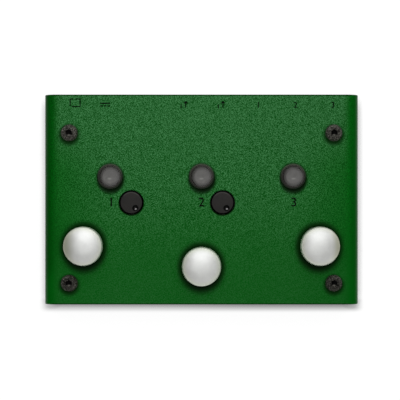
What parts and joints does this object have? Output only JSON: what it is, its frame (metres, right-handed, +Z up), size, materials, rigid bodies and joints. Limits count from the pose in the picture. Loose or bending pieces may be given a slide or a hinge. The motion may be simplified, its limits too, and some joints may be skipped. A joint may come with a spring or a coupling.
{
  "type": "instrument switcher",
  "caption": "Low green foot switcher box for instruments: domed foot buttons, round lamps and sunk gain knobs on top, plug sockets along the back edge.",
  "frame": {"origin": "on the floor under the middle of the box", "axes": "+X to the player's right, +Y to the back edge with the sockets, +Z up"},
  "size_m": [0.165, 0.11, 0.043],
  "materials": {
    "green_powder_coat": "fine-textured green powder coat",
    "black_tray_coat": "fine-textured black coat",
    "satin_nickel": "satin turned metal",
    "black_oxide": "black oxide steel",
    "zinc": "plain zinc-plated steel",
    "spring_steel": "bright spring steel",
    "turned_brass": "turned brass",
    "grey_lens": "smoked grey lens, unlit",
    "black_plastic": "satin black plastic",
    "moulded_black": "moulded black plastic",
    "black_rubber": "dull black rubber",
    "board_green": "green lacquered circuit board",
    "transformer_shell": "drawn grey metal can",
    "relay_case": "pale plastic relay cases",
    "can_sleeve": "dark sleeve on aluminium cans",
    "film_box": "red moulded boxes",
    "tinned_metal": "tinned metal"
  },
  "bodies": {
    "housing": {"cover": "green_powder_coat", "base_tray": "black_tray_coat", "cover_screws": "black_oxide", "tab_nuts": "zinc", "rubber_feet": "black_rubber", "board_spacers": "zinc", "board_screws": "zinc", "main_board": "board_green", "guide_bushes": "turned_brass", "bush_nuts": "zinc", "switch_bodies": "moulded_black", "left_lamp": "grey_lens", "middle_lamp": "grey_lens", "right_lamp": "grey_lens", "lamp_bezels": "black_plastic", "lamp_leads": "tinned_metal", "first_gain_pot": "moulded_black", "second_gain_pot": "moulded_black", "jack_contacts": "tinned_metal", "jack_washers": "zinc", "jack_nuts": "zinc", "power_inlet": "moulded_black", "inlet_pin": "tinned_metal", "ground_switch_body": "moulded_black", "transformer_can": "transformer_shell", "relays": "relay_case", "can_capacitors": "can_sleeve", "film_capacitors": "film_box", "chips": "moulded_black", "chip_leads": "tinned_metal", "voltage_regulator": "moulded_black", "first_output_jack": "moulded_black", "second_output_jack": "moulded_black", "first_input_jack": "moulded_black", "second_input_jack": "moulded_black", "third_input_jack": "moulded_black", "left_return_spring": "spring_steel", "middle_return_spring": "spring_steel", "right_return_spring": "spring_steel"},
    "left_foot_switch": {"left_foot_button": "satin_nickel", "left_retaining_ring": "zinc"},
    "left_plunger": {"left_switch_plunger": "black_plastic"},
    "middle_foot_switch": {"middle_foot_button": "satin_nickel", "middle_retaining_ring": "zinc"},
    "middle_plunger": {"middle_switch_plunger": "black_plastic"},
    "right_foot_switch": {"right_foot_button": "satin_nickel", "right_retaining_ring": "zinc"},
    "right_plunger": {"right_switch_plunger": "black_plastic"},
    "first_gain": {"first_gain_knob": "black_plastic", "first_gain_shaft": "moulded_black"},
    "second_gain": {"second_gain_knob": "black_plastic", "second_gain_shaft": "moulded_black"},
    "ground_slider": {"ground_switch_slider": "black_plastic"}
  },
  "joints": [
    {"name": "left_button_slide", "type": "slide", "parent": "housing", "child": "left_foot_switch", "axis": [0, 0, -1], "range_m": [0, 0.0025], "stiffness_N_per_m": 1500, "springref_m": -0.003, "deforming": ["left_return_spring"]},
    {"name": "left_plunger_slide", "type": "slide", "parent": "housing", "child": "left_plunger", "axis": [0, 0, -1], "range_m": [0, 0.0025]},
    {"name": "middle_button_slide", "type": "slide", "parent": "housing", "child": "middle_foot_switch", "axis": [0, 0, -1], "range_m": [0, 0.0025], "stiffness_N_per_m": 1500, "springref_m": -0.003, "deforming": ["middle_return_spring"]},
    {"name": "middle_plunger_slide", "type": "slide", "parent": "housing", "child": "middle_plunger", "axis": [0, 0, -1], "range_m": [0, 0.0025]},
    {"name": "right_button_slide", "type": "slide", "parent": "housing", "child": "right_foot_switch", "axis": [0, 0, -1], "range_m": [0, 0.0025], "stiffness_N_per_m": 1500, "springref_m": -0.003, "deforming": ["right_return_spring"]},
    {"name": "right_plunger_slide", "type": "slide", "parent": "housing", "child": "right_plunger", "axis": [0, 0, -1], "range_m": [0, 0.0025]},
    {"name": "first_gain_turn", "type": "hinge", "parent": "housing", "child": "first_gain", "pos_m": [-0.0368, -0.0016, 0.0318], "axis": [0, 0, 1], "range_deg": [0, 288]},
    {"name": "second_gain_turn", "type": "hinge", "parent": "housing", "child": "second_gain", "pos_m": [0.011, -0.0016, 0.0318], "axis": [0, 0, 1], "range_deg": [0, 288]},
    {"name": "ground_switch_slide", "type": "slide", "parent": "housing", "child": "ground_slider", "axis": [1, 0, 0], "range_m": [0, 0.002]}
  ],
  "couplings": [
    {"joint": "left_plunger_slide", "follows": "left_button_slide", "ratio": 1},
    {"joint": "middle_plunger_slide", "follows": "middle_button_slide", "ratio": 1},
    {"joint": "right_plunger_slide", "follows": "right_button_slide", "ratio": 1}
  ]
}
